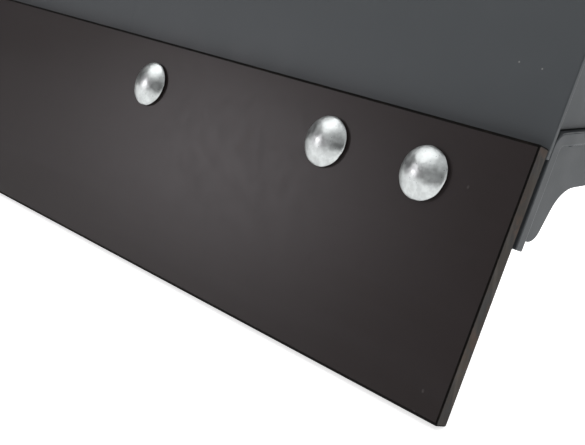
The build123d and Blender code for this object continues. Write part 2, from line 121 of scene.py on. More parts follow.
# ---- node materials -------------------------------------------------------------------------
class Surface:
    """A Principled material with a few short ways to build its node tree."""

    def __init__(self, name, color, roughness, metallic=0.0, specular=0.5):
        self.material = bpy.data.materials.new(name)
        self.material.use_nodes = True
        self.tree = self.material.node_tree
        self.shader = self.tree.nodes["Principled BSDF"]
        self.shader.inputs["Base Color"].default_value = (*color, 1)
        self.shader.inputs["Roughness"].default_value = roughness
        self.shader.inputs["Metallic"].default_value = metallic
        self.shader.inputs["Specular IOR Level"].default_value = specular
        self.where = self.tree.nodes.new("ShaderNodeTexCoord").outputs["Object"]
        self.normal = None

    def node(self, kind, inputs=(), **settings):
        made = self.tree.nodes.new(kind)
        for key, value in settings.items():
            setattr(made, key, value)
        for key, value in dict(inputs).items():
            self.put(made.inputs[key], value)
        return made

    def put(self, socket, value):
        if isinstance(value, bpy.types.NodeSocket):
            self.tree.links.new(value, socket)
        elif socket.type == "RGBA" and len(value) == 3:
            socket.default_value = (*value, 1)
        else:
            socket.default_value = value

    def stretched(self, stretch):
        return self.node("ShaderNodeMapping", {"Vector": self.where, "Scale": stretch}).outputs["Vector"]

    def noise(self, scale, detail=4.0, rough=0.55, stretch=(1, 1, 1)):
        made = self.node("ShaderNodeTexNoise", {
            "Vector": self.stretched(stretch), "Scale": scale, "Detail": detail, "Roughness": rough,
        })
        return made.outputs["Fac"]

    def cells(self, scale, stretch=(1, 1, 1)):
        made = self.node("ShaderNodeTexVoronoi", {"Vector": self.stretched(stretch), "Scale": scale})
        return made.outputs["Distance"]

    def spans(self, value, low, high, to_low=0.0, to_high=1.0):
        made = self.node("ShaderNodeMapRange", {
            "Value": value, "From Min": low, "From Max": high, "To Min": to_low, "To Max": to_high,
        }, interpolation_type="SMOOTHSTEP")
        return made.outputs["Result"]

    def math(self, operation, a, b=0.0):
        made = self.node("ShaderNodeMath", operation=operation)
        self.put(made.inputs[0], a)
        self.put(made.inputs[1], b)
        return made.outputs["Value"]

    def mix(self, amount, a, b):
        made = self.node("ShaderNodeMix", data_type="RGBA")
        for socket, value in ((0, amount), (6, a), (7, b)):
            self.put(made.inputs[socket], value)
        return made.outputs[2]

    def bump(self, height, distance, strength=1.0):
        made = self.node("ShaderNodeBump", {"Height": height, "Distance": distance, "Strength": strength})
        if self.normal is not None:
            self.put(made.inputs["Normal"], self.normal)
        self.normal = made.outputs["Normal"]
        self.put(self.shader.inputs["Normal"], self.normal)

    def color(self, value):
        self.put(self.shader.inputs["Base Color"], value)

    def rough(self, value):
        self.put(self.shader.inputs["Roughness"], value)

    def along(self, axis):
        """One coordinate of the place on the object."""
        split = self.node("ShaderNodeSeparateXYZ", {"Vector": self.where})
        return split.outputs[axis]

    def near(self, point, radius, stretch=(1, 1, 1)):
        """1 at a point of the object, fading to 0 at a radius from it."""
        away = self.node("ShaderNodeVectorMath", operation="SUBTRACT")
        self.put(away.inputs[0], self.where)
        self.put(away.inputs[1], point)
        scaled = self.node("ShaderNodeVectorMath", operation="MULTIPLY")
        self.put(scaled.inputs[0], away.outputs["Vector"])
        self.put(scaled.inputs[1], stretch)
        length = self.node("ShaderNodeVectorMath", {0: scaled.outputs["Vector"]}, operation="LENGTH")
        return self.spans(length.outputs["Value"], radius * 0.4, radius, 1.0, 0.0)

    def marks(self, places, radius, stretch=(1, 1, 1)):
        """Small marks at several places, as one mask."""
        mask = self.near(places[0], radius, stretch)
        for place in places[1:]:
            mask = self.math("MAXIMUM", mask, self.near(place, radius, stretch))
        return mask


def powder_coat(name, rib_marks=False):
    """Dark grey powder coat: fine orange peel, faint handling marks, a little dust."""
    s = Surface(name, (0.066, 0.073, 0.079), 0.42, specular=0.35)
    broad = s.noise(2.6, 3, 0.5)
    fine = s.noise(70, 4, 0.6)
    color = s.mix(s.spans(broad, 0.3, 0.7), (0.051, 0.0565, 0.061), (0.057, 0.063, 0.068))
    color = s.mix(s.spans(fine, 0.5, 0.85, 0, 0.22), color, (0.070, 0.077, 0.082))
    if rib_marks:
        dust = [side(down * MM, BAR_THICKNESS, HALF - x * MM) for x, down in ((23.3, -26.9), (13.6, -26.2))]
        color = s.mix(s.marks(dust, 0.45 * MM), color, (0.22, 0.22, 0.21))
    s.color(color)
    s.rough(s.spans(fine, 0.3, 0.75, 0.38, 0.47))
    s.bump(s.noise(700, 2, 0.5), 0.035 * MM, 0.5)
    s.bump(s.noise(6, 1, 0.5), 0.5 * MM, 0.12)
    if rib_marks:
        shadow = s.math("ABSOLUTE", s.math("SUBTRACT", s.math("ABSOLUTE", s.along("X")), MID_RIB_X))
        s.bump(s.spans(shadow, 0.2 * MM, 2.4 * MM, 1.0, 0.0), 0.06 * MM, 0.8)
    return s.material


def mill_scale():
    """Hot-rolled steel: brown-black scale, faint rolling streaks, a cloudy sheen and small nicks."""
    s = Surface("mill_scale", (0.022, 0.019, 0.019), 0.34, specular=0.24)
    cloud = s.noise(9, 5, 0.6, (0.45, 1, 1))
    streak = s.noise(55, 5, 0.65, (0.05, 1, 1))
    mottle = s.noise(150, 5, 0.65)
    color = s.mix(s.spans(cloud, 0.3, 0.7), (0.0170, 0.0125, 0.0115), (0.0215, 0.0165, 0.0165))
    color = s.mix(s.spans(streak, 0.45, 0.8, 0, 0.25), color, (0.032, 0.027, 0.028))
    color = s.mix(s.spans(mottle, 0.5, 0.8, 0, 0.35), color, (0.013, 0.010, 0.010))
    rust = s.math("MULTIPLY", s.spans(s.noise(24, 3, 0.6), 0.66, 0.78), s.spans(mottle, 0.4, 0.7))
    color = s.mix(s.math("MULTIPLY", rust, 0.20), color, (0.050, 0.026, 0.015))
    nicks = [side(down * MM, 0, HALF - x * MM) for x, down in ((20.7, 20.9), (9.3, 92.5), (9.7, 100.6))]
    scuffs = s.marks(nicks, 0.6 * MM, (1, 0.7, 0.7))
    color = s.mix(s.math("MULTIPLY", scuffs, 0.3), color, (0.10, 0.09, 0.085))
    s.color(color)
    s.rough(s.math("ADD", s.spans(mottle, 0.25, 0.75, 0.28, 0.31), s.spans(cloud, 0.3, 0.7, 0.0, 0.03)))
    s.bump(s.noise(480, 3, 0.6), 0.02 * MM, 0.35)
    s.bump(streak, 0.015 * MM, 0.3)
    s.bump(scuffs, 0.15 * MM, 0.5)
    return s.material


def sheared_end():
    """The bar's cut ends: duller, browner, with shear lines through the thickness and a little rust."""
    s = Surface("sheared_end", (0.018, 0.014, 0.012), 0.65, specular=0.16)
    blotch = s.noise(150, 5, 0.65)
    lines = s.noise(420, 3, 0.6, (1, 0.3, 0.05))
    color = s.mix(s.spans(blotch, 0.35, 0.7), (0.008, 0.0065, 0.006), (0.036, 0.027, 0.020))
    color = s.mix(s.spans(lines, 0.45, 0.7, 0, 0.55), color, (0.085, 0.070, 0.056))
    color = s.mix(s.spans(s.noise(90, 4, 0.6), 0.52, 0.68, 0, 0.5), color, (0.070, 0.036, 0.020))
    s.color(color)
    s.rough(s.spans(blotch, 0.3, 0.7, 0.42, 0.60))
    s.bump(lines, 0.05 * MM, 0.6)
    s.bump(blotch, 0.08 * MM, 0.5)
    return s.material


def painted_edge_shade():
    """The bar's rounded corners, painted nearly black as painted shade along the edges."""
    s = Surface("painted_edge_shade", (0.005, 0.004, 0.004), 0.62, specular=0.06)
    blotch = s.noise(190, 4, 0.6)
    s.color(s.mix(s.spans(blotch, 0.5, 0.8), (0.004, 0.0035, 0.003), (0.014, 0.011, 0.009)))
    s.rough(s.spans(blotch, 0.3, 0.7, 0.56, 0.70))
    s.bump(blotch, 0.06 * MM, 0.5)
    return s.material


def zinc(name="zinc", color=(0.70, 0.72, 0.75), soft=0.0):
    """Zinc plate: bright, faintly blue, with cloudy patches, pin pricks and small dents."""
    s = Surface(name, color, 0.22 + soft, 1.0)
    cloud = s.noise(300, 4, 0.6)
    fine = s.noise(1600, 3, 0.6)
    dark = tuple(c * 0.84 for c in color)
    light = tuple(min(1.0, c * 1.12) for c in color)
    tone = s.mix(s.spans(cloud, 0.35, 0.68), dark, light)
    pricks = s.spans(s.cells(900), 0.10, 0.22, 1.0, 0.0)
    tone = s.mix(s.math("MULTIPLY", pricks, s.spans(s.noise(400, 1), 0.56, 0.62)), tone, (0.22, 0.23, 0.25))
    s.color(tone)
    s.rough(s.spans(cloud, 0.3, 0.7, 0.17 + soft, 0.28 + soft))
    s.bump(cloud, 0.10 * MM, 0.25)
    s.bump(fine, 0.02 * MM, 0.4)
    return s.material


def spring_black():
    """Oil-hardened spring wire under thin black paint, with bright rubbed spots."""
    s = Surface("spring_black", (0.018, 0.018, 0.019), 0.30)
    grain = s.noise(500, 4, 0.6)
    rub = s.spans(s.noise(90, 4, 0.65), 0.64, 0.74)
    color = s.mix(s.spans(grain, 0.4, 0.8), (0.014, 0.014, 0.015), (0.034, 0.034, 0.036))
    s.color(s.mix(s.math("MULTIPLY", rub, 0.5), color, (0.11, 0.105, 0.10)))
    s.rough(s.spans(grain, 0.3, 0.7, 0.24, 0.42))
    s.bump(grain, 0.05 * MM, 0.4)
    return s.material


def rubber():
    """Moulded black rubber: matt, with a fine grain and a grey bloom."""
    s = Surface("rubber", (0.022, 0.022, 0.022), 0.72, specular=0.35)
    grain = s.noise(700, 4, 0.7)
    color = s.mix(s.spans(grain, 0.4, 0.7), (0.017, 0.017, 0.017), (0.034, 0.033, 0.032))
    s.color(s.mix(s.spans(s.noise(80, 3), 0.5, 0.8, 0, 0.3), color, (0.06, 0.06, 0.058)))
    s.rough(s.spans(grain, 0.3, 0.7, 0.64, 0.80))
    s.bump(grain, 0.12 * MM, 0.6)
    return s.material


def cap_plastic():
    """Black moulded end caps with a spark-eroded texture."""
    s = Surface("cap_plastic", (0.020, 0.020, 0.021), 0.5)
    grain = s.noise(1100, 2, 0.5)
    s.color(s.mix(s.spans(grain, 0.35, 0.75), (0.016, 0.016, 0.017), (0.028, 0.028, 0.029)))
    s.rough(s.spans(grain, 0.3, 0.7, 0.42, 0.58))
    s.bump(grain, 0.05 * MM, 0.6)
    return s.material


def shoe_iron():
    """Black-painted cast iron with a sand-cast skin, worn to metal where it slides."""
    s = Surface("shoe_iron", (0.030, 0.030, 0.031), 0.5, 0.1)
    sand = s.noise(420, 5, 0.7)
    color = s.mix(s.spans(s.noise(30, 3, 0.5), 0.3, 0.7), (0.024, 0.024, 0.025), (0.042, 0.041, 0.040))
    worn = s.spans(s.math("ADD", s.along("Z"), s.math("MULTIPLY", sand, 6 * MM)), 3 * MM, 8 * MM, 1.0, 0.0)
    s.color(s.mix(s.math("MULTIPLY", worn, 0.7), color, (0.16, 0.15, 0.14)))
    s.rough(s.spans(sand, 0.3, 0.7, 0.42, 0.62))
    s.bump(sand, 0.3 * MM, 0.7)
    return s.material


POWDER = powder_coat("powder_coat")
POWDER_FRONT = powder_coat("powder_coat_moldboard", rib_marks=True)
SCALE = mill_scale()
END = sheared_end()
# nearly black material that paints shade onto the wear bar's rounded corners
CORNER_SHADE = painted_edge_shade()
ZINC = zinc()
ZINC_HEAD = zinc("zinc_head", (0.60, 0.625, 0.62), 0.12)
SPRING = spring_black()
RUBBER = rubber()
PLASTIC = cap_plastic()
IRON = shoe_iron()
SLOT_LOOKS = {
    "powder_coat": POWDER, "mill_steel": SCALE, "zinc": ZINC, "spring_steel": SPRING,
    "bumper_rubber": RUBBER, "cap_plastic": PLASTIC, "shoe_iron": IRON,
}


# ---- meshes ------------------------------------------------------------------------------------
def placed(origin, z_dir, x_dir):
    """The matrix of a local frame: its origin, its z direction and its x direction."""
    z_axis = z_dir.normalized()
    x_axis = (x_dir - z_axis * x_dir.dot(z_axis)).normalized()
    turn = Matrix((x_axis, z_axis.cross(x_axis), z_axis)).transposed()
    return Matrix.Translation(origin) @ turn.to_4x4()


class Form:
    """The vertices and faces of one piece, added part by part."""

    def __init__(self):
        self.vertices = []
        self.faces = []
        self.looks = []

    def skin(self, rings, closed=False, look=lambda span, i: 0, cap_look=0, sheet=False):
        """Faces between rings of points, with caps unless the rings close on themselves."""
        count = len(rings[0])
        base = len(self.vertices)
        for ring in rings:
            self.vertices.extend(ring)
        for span in range(len(rings) if closed else len(rings) - 1):
            low = base + span * count
            high = base + (span + 1) % len(rings) * count
            for i in range(count):
                j = (i + 1) % count
                self.faces.append((low + i, low + j, high + j, high + i))
                self.looks.append(look(span, i))
        if closed:
            return
        for first in (base, base + (len(rings) - 1) * count):
            if sheet:
                caps = [(i, i + 1, count - 2 - i, count - 1 - i) for i in range(count // 2 - 1)]
            else:
                caps = [tuple(range(count))]
            for cap in caps:
                self.faces.append(tuple(first + i for i in cap))
                self.looks.append(cap_look)

    def tube(self, path, radius, sides=12, closed=False, rounded=False):
        """A round wire along a path. The radius is one number, or one for each point."""
        points = list(path)
        radii = list(radius) if isinstance(radius, list) else [radius] * len(points)
        if rounded:
            steps = (30, 60, 84)
            for index, inner in ((0, 1), (-1, -2)):
                end, r = points[index], radii[index]
                away = (end - points[inner]).normalized()
                tip = [end + away * r * math.sin(math.radians(a)) for a in steps]
                thin = [r * math.cos(math.radians(a)) for a in steps]
                if index == 0:
                    points, radii = tip[::-1] + points, thin[::-1] + radii
                else:
                    points, radii = points + tip, radii + thin
        count = len(points)
        tangents = []
        for i in range(count):
            before = points[(i - 1) % count] if closed or i else points[0]
            after = points[(i + 1) % count] if closed or i < count - 1 else points[-1]
            tangents.append((after - before).normalized())
        normal = tangents[0].orthogonal().normalized()
        rings = []
        for i in range(count):
            if i:
                normal = tangents[i - 1].rotation_difference(tangents[i]) @ normal
            normal = (normal - tangents[i] * normal.dot(tangents[i])).normalized()
            across = tangents[i].cross(normal)
            angles = [math.tau * k / sides for k in range(sides)]
            spokes = [normal * math.cos(a) + across * math.sin(a) for a in angles]
            rings.append([points[i] + spoke * radii[i] for spoke in spokes])
        self.skin(rings, closed)

    def lathe(self, where, profile, sides=48, closed=False, bumpy=0.0):
        """A profile of (radius, height) pairs turned about the z axis of a placed frame."""
        rings = []
        for radius, height in profile:
            ring = []
            for k in range(sides):
                angle = math.tau * k / sides
                local = Vector((radius * math.cos(angle), radius * math.sin(angle), height))
                point = where @ local
                if bumpy:
                    sample = noise.noise(point * 300) + 0.5 * noise.noise(point * 800)
                    point = where @ (local * (1 + bumpy * sample))
                ring.append(point)
            rings.append(ring)
        self.skin(rings, closed)

    def nut(self, where, across_flats, height, bore):
        """A hexagon nut from z 0 up to its height, with both faces chamfered."""
        sides = 72
        seat = across_flats * 0.475
        slope = math.tan(math.radians(30))
        names = ("outer_low", "outer_high", "top", "bore_top", "bore_high", "bore_low", "bore_foot", "bottom")
        rings = {name: [] for name in names}
        lead = 0.6 * MM
        for k in range(sides):
            angle = math.tau * k / sides
            off_flat = (angle + math.pi / 6) % (math.pi / 3) - math.pi / 6
            radius = min(across_flats / 2 / math.cos(off_flat), across_flats * 0.567)
            fall = max(0.0, radius - seat) * slope
            toward = Vector((math.cos(angle), math.sin(angle), 0))
            profile = (
                (radius, fall), (radius, height - fall), (seat, height), (bore + lead, height),
                (bore, height - lead), (bore, lead), (bore + lead, 0), (seat, 0),
            )
            for name, (out, up) in zip(names, profile):
                rings[name].append(where @ (toward * out + UP * up))
        self.skin(list(rings.values()), closed=True)

    def thread(self, where, start, end, radius, pitch):
        """A screw thread from z start to z end, with a tapered tip."""
        sides = 30
        per_turn = 6
        depth = pitch * 0.5
        count = int((end - start) / pitch * per_turn)
        rings = []
        for step in range(count + 1):
            height = start + (end - start) * step / count
            taper = min(1.0, (end - height) / (1.2 * MM))
            ring = []
            for k in range(sides):
                angle = math.tau * k / sides
                phase = (height / pitch - k / sides) % 1.0
                groove = depth * (1 - abs(2 * phase - 1))
                r = min(radius - groove, radius - depth * (1 - taper) * 1.1)
                ring.append(where @ Vector((r * math.cos(angle), r * math.sin(angle), height)))
            rings.append(ring)
        self.skin(rings)

    def weld(self, path, size=2.6 * MM, key=0):
        """A rippled weld bead, half sunk in the corner that its path follows."""
        length = sum((b - a).length for a, b in zip(path, path[1:]))
        ripple = 1.7 * MM
        samples = max(8, int(length / ripple * 4))
        points = [along_path(path, length * i / samples) for i in range(samples + 1)]
        radii = []
        for i, point in enumerate(points):
            wave = (length * i / samples / ripple + key * 0.37) % 1.0
            wander = 1 + 0.10 * noise.noise(point * 140)
            radii.append(size * wander * (0.86 + 0.14 * math.sin(wave * math.pi)))
        self.tube(points, radii, sides=10, rounded=True)


def along_path(path, distance):
    """The point at a distance along a polyline."""
    for a, b in zip(path, path[1:]):
        span = (b - a).length
        if distance <= span:
            return a.lerp(b, distance / span)
        distance -= span
    return path[-1].copy()


def piece(name, form, looks, body, nodes=(), sharp=38):
    """Makes a form into an object that rides on a body and stands for its CAD nodes."""
    mesh = bpy.data.meshes.new(name)
    mesh.from_pydata([tuple(v) for v in form.vertices], [], form.faces)
    for material in looks:
        mesh.materials.append(material)
    for index, polygon in enumerate(mesh.polygons):
        polygon.material_index = form.looks[index]
    cleaner = bmesh.new()
    cleaner.from_mesh(mesh)
    bmesh.ops.remove_doubles(cleaner, verts=cleaner.verts, dist=0.001 * MM)
    bmesh.ops.recalc_face_normals(cleaner, faces=cleaner.faces)
    cleaner.to_mesh(mesh)
    cleaner.free()
    for polygon in mesh.polygons:
        polygon.use_smooth = True
    mesh.set_sharp_from_angle(angle=math.radians(sharp))
    obj = bpy.data.objects.new(name, mesh)
    bpy.context.scene.collection.objects.link(obj)
    if body:
        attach(obj, body)
    if nodes:
        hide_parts(*nodes)
    return obj


def ease(obj, width, segments=2, angle=35, look=-1):
    """Eased edges, as a real plate or bar has."""
    modifier = obj.modifiers.new("ease", "BEVEL")
    modifier.width = width
    modifier.segments = segments
    modifier.limit_method = "ANGLE"
    modifier.angle_limit = math.radians(angle)
    modifier.material = look
    weighted = obj.modifiers.new("shade", "WEIGHTED_NORMAL")
    weighted.keep_sharp = True


def dress(node, material, width=0.0):
    """Gives a CAD node its look, with eased edges where they show."""
    obj = frame["nodes"][node]
    if not obj.material_slots:
        obj.data.materials.append(material)
    for material_slot in obj.material_slots:
        material_slot.link = "OBJECT"
        material_slot.material = material
    if width:
        weld = obj.modifiers.new("join", "WELD")
        weld.merge_threshold = 0.005 * MM
        ease(obj, width)


EASED = {
    "end_rib": 0.35, "mid_rib": 0.35, "pivot_rib": 0.35,
    "trip_lug": 0.5, "stop_tab": 0.5, "sector_plate": 0.5,
    "sleeve_gusset": 0.5, "spring_bracket": 0.4, "skid_gusset": 0.4, "trip_pin_l": 0.4, "trip_pin_r": 0.4,
    "stop_pads": 0.4, "crossbar_caps": 0.4,
}
for row in frame["record"]["subparts"]:
    widths = [width * MM for start, width in EASED.items() if row["node"].startswith(start)]
    dress(row["node"], SLOT_LOOKS[row["material_slot"]], widths[0] if widths else 0.0)


def walk(start, heading, moves):
    """Middle line of a bent sheet in the YZ plane: (point, heading) pairs along straights and bends."""
    point = start.copy()
    line = [(point.copy(), heading)]
    for kind, amount, angle in moves:
        if kind == "straight":
            point += Vector((0, math.cos(heading), math.sin(heading))) * amount
            line.append((point.copy(), heading))
            continue
        steps = max(6, int(abs(math.degrees(angle)) / 1.5) if amount > 50 * MM else 10)
        turn = 1 if angle > 0 else -1
        center = point + Vector((0, -math.sin(heading), math.cos(heading))) * amount * turn
        for i in range(1, steps + 1):
            now = heading + angle * i / steps
            point = center - Vector((0, -math.sin(now), math.cos(now))) * amount * turn
            line.append((point.copy(), now))
        heading += angle
    return line


def both_faces(line, thickness):
    """The closed outline of a sheet from its middle line."""
    normals = [Vector((0, -math.sin(h), math.cos(h))) for p, h in line]
    front = [p + n * thickness / 2 for (p, h), n in zip(line, normals)]
    back = [p - n * thickness / 2 for (p, h), n in zip(line, normals)]
    return front + back[::-1]


def swept(outline, ends, look=lambda span, i: 0, cap_look=0, sheet=False):
    """A form whose outline in YZ runs along X. Ends gives each outline point's X at both ends."""
    form = Form()
    rings = [[Vector((x, p.y, p.z)) for p, x in zip(outline, xs)] for xs in ends]
    form.skin(rings, look=look, cap_look=cap_look, sheet=sheet)
    return form

# ---- moldboard, flange and wear bar ---------------------------------------------------------------
def make_moldboard():
    """The rolled sheet: flat below, curved above, with a lip bent back along its top."""
    step = 0.02 * MM
    line = walk(side(LAP, BAR_THICKNESS + SHEET / 2), math.pi / 2 - LEAN, (
        ("straight", LAP - CLIP_START, 0),
        ("straight", step, 0),
        ("straight", CLIP_START + FLAT_HEIGHT - step, 0),
        ("bend", CURVE_RADIUS + SHEET / 2, CURVE_ANGLE),
        ("bend", LIP_RADIUS, -math.pi / 2),
        ("straight", LIP_LENGTH, 0),
    ))
    outline = both_faces(line, SHEET)
    clipped = (0, 1, len(outline) - 2, len(outline) - 1)
    reach = [HALF - CLIP if i in clipped else HALF for i in range(len(outline))]
    form = swept(outline, ([-x for x in reach], reach), sheet=True)
    obj = piece("moldboard_sheet", form, [POWDER_FRONT], "blade", ("moldboard",))
    ease(obj, 0.45 * MM, segments=3)


def make_flange():
    """The folded plate behind the wear bar: a front leg, a rounded bend and a rear leg."""
    middle = FLANGE_FRONT + PLATE / 2
    fold = math.pi / 2 - LEAN
    rear_up = FLANGE_TOP - PLATE / 2
    rise = (-rear_up - middle * SIN) / COS
    radius = FLANGE_BEND - PLATE / 2
    tangent = radius * math.tan(fold / 2)
    line = walk(side(FLANGE_DROP, middle), fold, (
        ("straight", FLANGE_DROP - rise - tangent, 0),
        ("bend", radius, -fold),
        ("straight", FLANGE_REAR - (side(rise, middle).y - EDGE_Y) - tangent, 0),
    ))
    outline = both_faces(line, PLATE)
    form = swept(outline, ([-HALF] * len(outline), [HALF] * len(outline)), sheet=True)
    obj = piece("bottom_flange_plate", form, [POWDER], "blade", ("bottom_flange",))
    ease(obj, 0.5 * MM, segments=3)


def make_wear_bar():
    """The rolled bar: rounded edges along its length painted black as shade, cut square at both ends."""
    steps = 6
    corners = (
        (0, 0, 1.1 * MM), (BAR_HEIGHT, 0, 1.2 * MM),
        (BAR_HEIGHT, BAR_THICKNESS, 0.8 * MM), (0, BAR_THICKNESS, 0.6 * MM),
    )
    outline = []
    for i, (down, deep, radius) in enumerate(corners):
        corner = Vector((down, deep))
        arrive = (corner - Vector(corners[i - 1][:2])).normalized()
        leave = (Vector(corners[(i + 1) % 4][:2]) - corner).normalized()
        center = corner + (leave - arrive) * radius
        for k in range(steps + 1):
            a = math.pi / 2 * k / steps
            outline.append(side(*(center + (arrive * math.sin(a) - leave * math.cos(a)) * radius)))
    # corner faces take material 1, the painted edge shade; flat faces take the scale, the cut ends the end
    # material
    form = swept(
        outline, ([-HALF] * len(outline), [HALF] * len(outline)),
        look=lambda span, i: 0 if i % (steps + 1) == steps else 1, cap_look=2,
    )
    obj = piece("wear_bar_steel", form, [SCALE, CORNER_SHADE, END], "blade", ("wear_bar",), sharp=50)
    # the eased edges also take material 1, the nearly black painted shade
    ease(obj, 0.8 * MM, segments=3, angle=50, look=1)


make_moldboard()
make_flange()
make_wear_bar()


# ---- fasteners ----------------------------------------------------------------------------------------
HEAD_RADIUS, HEAD_RIM, HEAD_HEIGHT = 10.3 * MM, 1.4 * MM, 4.9 * MM
NECK = 9.6 * MM
BOLT_RADIUS, BOLT_PITCH, BOLT_OUT = 4.6 * MM, 1.59 * MM, 4 * MM
WASHER, WASHER_RADIUS = 1.8 * MM, 10.2 * MM
NUT_HEIGHT, NUT_FLATS = 8.3 * MM, 14.3 * MM
bolt_xs = [s * (HALF - d) for d in BOLT_FROM_END for s in (-1, 1)]


def make_edge_fasteners():
    """Carriage bolts through the wear bar, with washers and nuts behind the flange."""
    dome = HEAD_HEIGHT - HEAD_RIM
    radius = (HEAD_RADIUS ** 2 + dome ** 2) / (2 * dome)
    widest = math.asin(HEAD_RADIUS / radius)
    rings = 20
    edge = 0.45 * MM
    under = 1.3 * MM
    head = [(HEAD_RADIUS - under, 0), (HEAD_RADIUS - under * 0.9, 0.1 * MM)]
    head += [(HEAD_RADIUS - edge * 0.2, HEAD_RIM - edge), (HEAD_RADIUS, HEAD_RIM - edge * 0.4)]
    for i in range(rings):
        a = widest * (0.97 - 0.965 * i / (rings - 1))
        head.append((radius * math.sin(a), HEAD_HEIGHT - radius * (1 - math.cos(a))))
    bolts, washers, nuts = Form(), Form(), Form()
    tip = FLANGE_BACK + WASHER + NUT_HEIGHT + BOLT_OUT
    for i, x in enumerate(bolt_xs):
        seat = side(BOLT_DROP, 0, x)
        face = placed(seat, OUT, ALONG)
        inward = placed(seat, -OUT, ALONG)
        bolts.lathe(face, head, sides=72, bumpy=0.012)
        corners = [(1, 1), (-1, 1), (-1, -1), (1, -1)]
        depths = (-0.2 * MM, 4.5 * MM)
        neck = [[inward @ Vector((u * NECK / 2, v * NECK / 2, z)) for u, v in corners] for z in depths]
        bolts.skin(neck)
        bolts.thread(inward, 4 * MM, tip, BOLT_RADIUS, BOLT_PITCH)
        back = placed(side(BOLT_DROP, FLANGE_BACK, x), -OUT, ALONG)
        hole = BOLT_RADIUS + 0.4 * MM
        soft = 0.25 * MM
        washers.lathe(back, [
            (hole, 0), (WASHER_RADIUS - soft, 0), (WASHER_RADIUS, soft), (WASHER_RADIUS, WASHER - soft),
            (WASHER_RADIUS - soft, WASHER), (hole, WASHER),
        ], sides=60, closed=True)
        spin = Matrix.Rotation(i * 0.83, 4, "Z")
        nuts.nut(back @ Matrix.Translation((0, 0, WASHER)) @ spin, NUT_FLATS, NUT_HEIGHT, BOLT_RADIUS)
    piece("carriage_bolt_set", bolts, [ZINC_HEAD], "blade", ("carriage_bolts",), sharp=50)
    piece("edge_washer_set", washers, [ZINC], "blade", ("edge_washers",))
    piece("edge_nut_set", nuts, [ZINC], "blade", ("edge_nuts",), sharp=28)


make_edge_fasteners()


def make_anchor_fasteners():
    """The bolts that the springs hook on, across each pair of pivot ribs, and their nuts."""
    reach = PAIR_GAP / 2 + PLATE
    past = 7 * MM
    flats, head_height, nut_height = 17 * MM, 6.5 * MM, 8.5 * MM
    radius = 5 * MM
    bolts, nuts = Form(), Form()
    for word, s in SIDES:
        middle = placed(behind(ANCHOR_BACK, ANCHOR_UP, s * PIVOT_X), ALONG, UP)
        bolts.thread(middle, -reach - 1 * MM, reach + past + nut_height - 7 * MM, radius, 1.5 * MM)
        bolts.nut(middle @ Matrix.Translation((0, 0, -reach - head_height)), flats, head_height, 1.0 * MM)
        nuts.nut(middle @ Matrix.Translation((0, 0, reach)), flats, nut_height, radius)
    piece("spring_anchor_bolt_set", bolts, [ZINC], "blade", ("spring_anchor_bolts",), sharp=28)
    piece("spring_anchor_nut_set", nuts, [ZINC], "blade", ("spring_anchor_nuts",), sharp=28)


make_anchor_fasteners()


def hairpin(form, where, reach, pin_radius, wire=3.0 * MM):
    """A hairpin clip: a straight leg along x through the pin, and a bowed leg that hugs the pin."""
    spread = pin_radius + wire / 2 + 0.3 * MM
    eye = 3.4 * MM
    path = [Vector((-reach + wire / 2 + (2 * reach - 6 * MM) * i / 8, 0, 0)) for i in range(9)]
    middle = Vector((reach - 4.5 * MM, eye, 0))
    for i in range(1, 17):
        a = -math.pi / 2 + math.radians(250) * i / 16
        path.append(middle + Vector((math.cos(a), math.sin(a), 0)) * eye)
    hug = math.radians(52)
    for i in range(1, 9):
        a = hug - 2 * hug * i / 8
        path.append(Vector((math.sin(a) * spread, math.cos(a) * spread, 0)))
    last = path[-1]
    path.append(last + Vector((-1.6 * MM, 0.4 * MM, 0)))
    path.append(last + Vector((-3.2 * MM, 2.4 * MM, 0)))
    form.tube([where @ p for p in smoothed(path)], wire / 2, sides=12, rounded=True)


def smoothed(points, per_span=3):
    """A Catmull-Rom curve through a list of points."""
    ends = [points[0] * 2 - points[1], *points, points[-1] * 2 - points[-2]]
    made = []
    for i in range(1, len(ends) - 2):
        p0, p1, p2, p3 = ends[i - 1:i + 3]
        for k in range(per_span):
            t = k / per_span
            made.append(0.5 * (
                2 * p1 + (p2 - p0) * t + (2 * p0 - 5 * p1 + 4 * p2 - p3) * t ** 2
                + (3 * p1 - p0 - 3 * p2 + p3) * t ** 3
            ))
    made.append(points[-1])
    return made


PIN_RADIUS, POST_RADIUS = 7.94 * MM, 12.7 * MM
CLIP_PAST = 9 * MM


def make_clips():
    """Hairpin clips through the trip pins and the skid posts."""
    pin_clips = Form()
    for word, s in SIDES:
        out = PIVOT_X - PAIR_GAP / 2 - PLATE - 4 * MM
        where = placed(behind(PIVOT_BACK, PIVOT_UP, s * out), ALONG, -UP)
        hairpin(pin_clips, where, PIN_RADIUS + CLIP_PAST, PIN_RADIUS)
    piece("trip_pin_clip_set", pin_clips, [ZINC], "blade", ("trip_pin_clips",))
    for word, s in SIDES:
        node = f"skid_clip_{word}"
        low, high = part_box(node)
        form = Form()
        where = placed(Vector((s * SKID_X, EDGE_Y + SKID_BACK, (low.z + high.z) / 2)), UP, ALONG)
        hairpin(form, where, POST_RADIUS + CLIP_PAST, POST_RADIUS)
        piece(f"skid_hairpin_{word}", form, [ZINC], f"skid_{word}", (node,))


make_clips()


# ---- trip springs and eye bolts -----------------------------------------------------------------------
anchor = behind(ANCHOR_BACK, ANCHOR_UP)
bracket = behind(BRACKET_BACK, BRACKET_UP)
pull = (bracket - anchor).normalized()
eye = bracket - pull * 30 * MM
top_loop = anchor + pull * 2.95 * MM
low_loop = eye - pull * 14.95 * MM
STRAIGHT = LOOP_RADIUS + WIRE / 2 + 3 * MM
coil_start = top_loop + pull * STRAIGHT
coil_end = low_loop - pull * STRAIGHT


